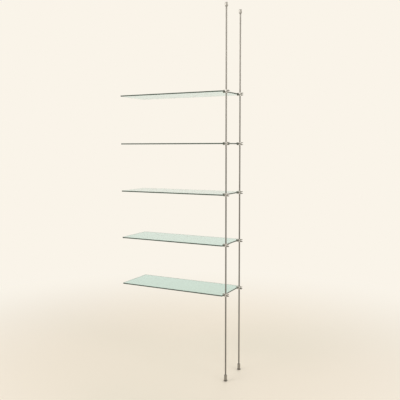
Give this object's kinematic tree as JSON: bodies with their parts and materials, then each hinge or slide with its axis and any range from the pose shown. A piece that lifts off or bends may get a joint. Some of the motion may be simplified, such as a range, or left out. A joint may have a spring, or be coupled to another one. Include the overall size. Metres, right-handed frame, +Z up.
{
  "type": "tension pole shelf unit",
  "caption": "Glass shelves held at one end by two-sided clamps on slim steel poles, wedged between floor and ceiling by screw-jack feet and sprung caps.",
  "frame": {"origin": "on the floor, under the middle of the unit's bounding box", "axes": "+Z up along the poles, +Y towards the wall, from the front pole to the rear pole, and +X from the shelves' free ends towards the poles"},
  "size_m": [0.8264, 0.3, 2.5],
  "materials": {
    "poles": "satin stainless, drawn lengthwise",
    "fittings": "fine-turned stainless, half bright",
    "fasteners": "plain stainless set screws",
    "springs": "spring steel",
    "rubber": "matt black rubber",
    "glass": "clear float glass, polished edges, green cast"
  },
  "bodies": {
    "root": {"front_pole": "poles", "rear_pole": "poles", "front_spring_piston": "fasteners", "rear_spring_piston": "fasteners"},
    "front_cap": {"front_ceiling_cap": "fittings", "front_cap_collar": "fittings", "front_ceiling_pad": "rubber", "front_tension_spring": "springs"},
    "front_sleeve": {"front_foot_sleeve": "fittings", "front_keeper_screw": "fasteners"},
    "front_foot": {"front_foot_jack": "fittings", "front_floor_pad": "rubber"},
    "rear_cap": {"rear_ceiling_cap": "fittings", "rear_cap_collar": "fittings", "rear_ceiling_pad": "rubber", "rear_tension_spring": "springs"},
    "rear_sleeve": {"rear_foot_sleeve": "fittings", "rear_keeper_screw": "fasteners"},
    "rear_foot": {"rear_foot_jack": "fittings", "rear_floor_pad": "rubber"},
    "shelf_1": {"glass_shelf_1": "glass", "front_clamp_1": "fittings", "rear_clamp_1": "fittings", "jaw_liners_1": "rubber", "jaw_screws_1": "fasteners", "lock_screws_1": "fasteners"},
    "shelf_2": {"glass_shelf_2": "glass", "front_clamp_2": "fittings", "rear_clamp_2": "fittings", "jaw_liners_2": "rubber", "jaw_screws_2": "fasteners", "lock_screws_2": "fasteners"},
    "shelf_3": {"glass_shelf_3": "glass", "front_clamp_3": "fittings", "rear_clamp_3": "fittings", "jaw_liners_3": "rubber", "jaw_screws_3": "fasteners", "lock_screws_3": "fasteners"},
    "shelf_4": {"glass_shelf_4": "glass", "front_clamp_4": "fittings", "rear_clamp_4": "fittings", "jaw_liners_4": "rubber", "jaw_screws_4": "fasteners", "lock_screws_4": "fasteners"},
    "shelf_5": {"glass_shelf_5": "glass", "front_clamp_5": "fittings", "rear_clamp_5": "fittings", "jaw_liners_5": "rubber", "jaw_screws_5": "fasteners", "lock_screws_5": "fasteners"}
  },
  "joints": [
    {"name": "front_cap_press", "type": "slide", "parent": "root", "child": "front_cap", "axis": [0, 0, 1], "range_m": [-0.006, 0], "stiffness_N_per_m": 12000, "springref_m": 0.004, "deforming": ["front_tension_spring"]},
    {"name": "front_sleeve_turn", "type": "hinge", "parent": "root", "child": "front_sleeve", "pos_m": [0.39175, -0.1125, 0.0263], "axis": [0, 0, 1], "range_deg": [-570, 3450]},
    {"name": "front_foot_jack_travel", "type": "slide", "parent": "root", "child": "front_foot", "axis": [0, 0, -1], "range_m": [-0.002, 0.012]},
    {"name": "rear_cap_press", "type": "slide", "parent": "root", "child": "rear_cap", "axis": [0, 0, 1], "range_m": [-0.006, 0], "stiffness_N_per_m": 12000, "springref_m": 0.004, "deforming": ["rear_tension_spring"]},
    {"name": "rear_sleeve_turn", "type": "hinge", "parent": "root", "child": "rear_sleeve", "pos_m": [0.39175, 0.1125, 0.0263], "axis": [0, 0, 1], "range_deg": [-570, 3450]},
    {"name": "rear_foot_jack_travel", "type": "slide", "parent": "root", "child": "rear_foot", "axis": [0, 0, -1], "range_m": [-0.002, 0.012]},
    {"name": "shelf_1_height", "type": "slide", "parent": "root", "child": "shelf_1", "axis": [0, 0, 1], "range_m": [-0.5, 0.15]},
    {"name": "shelf_2_height", "type": "slide", "parent": "root", "child": "shelf_2", "axis": [0, 0, 1], "range_m": [-0.15, 0.15]},
    {"name": "shelf_3_height", "type": "slide", "parent": "root", "child": "shelf_3", "axis": [0, 0, 1], "range_m": [-0.15, 0.15]},
    {"name": "shelf_4_height", "type": "slide", "parent": "root", "child": "shelf_4", "axis": [0, 0, 1], "range_m": [-0.15, 0.15]},
    {"name": "shelf_5_height", "type": "slide", "parent": "root", "child": "shelf_5", "axis": [0, 0, 1], "range_m": [-0.15, 0.48]}
  ],
  "couplings": [
    {"joint": "front_foot_jack_travel", "follows": "front_sleeve_turn", "m_per_rad": 0.00019894},
    {"joint": "rear_foot_jack_travel", "follows": "rear_sleeve_turn", "m_per_rad": 0.00019894}
  ]
}
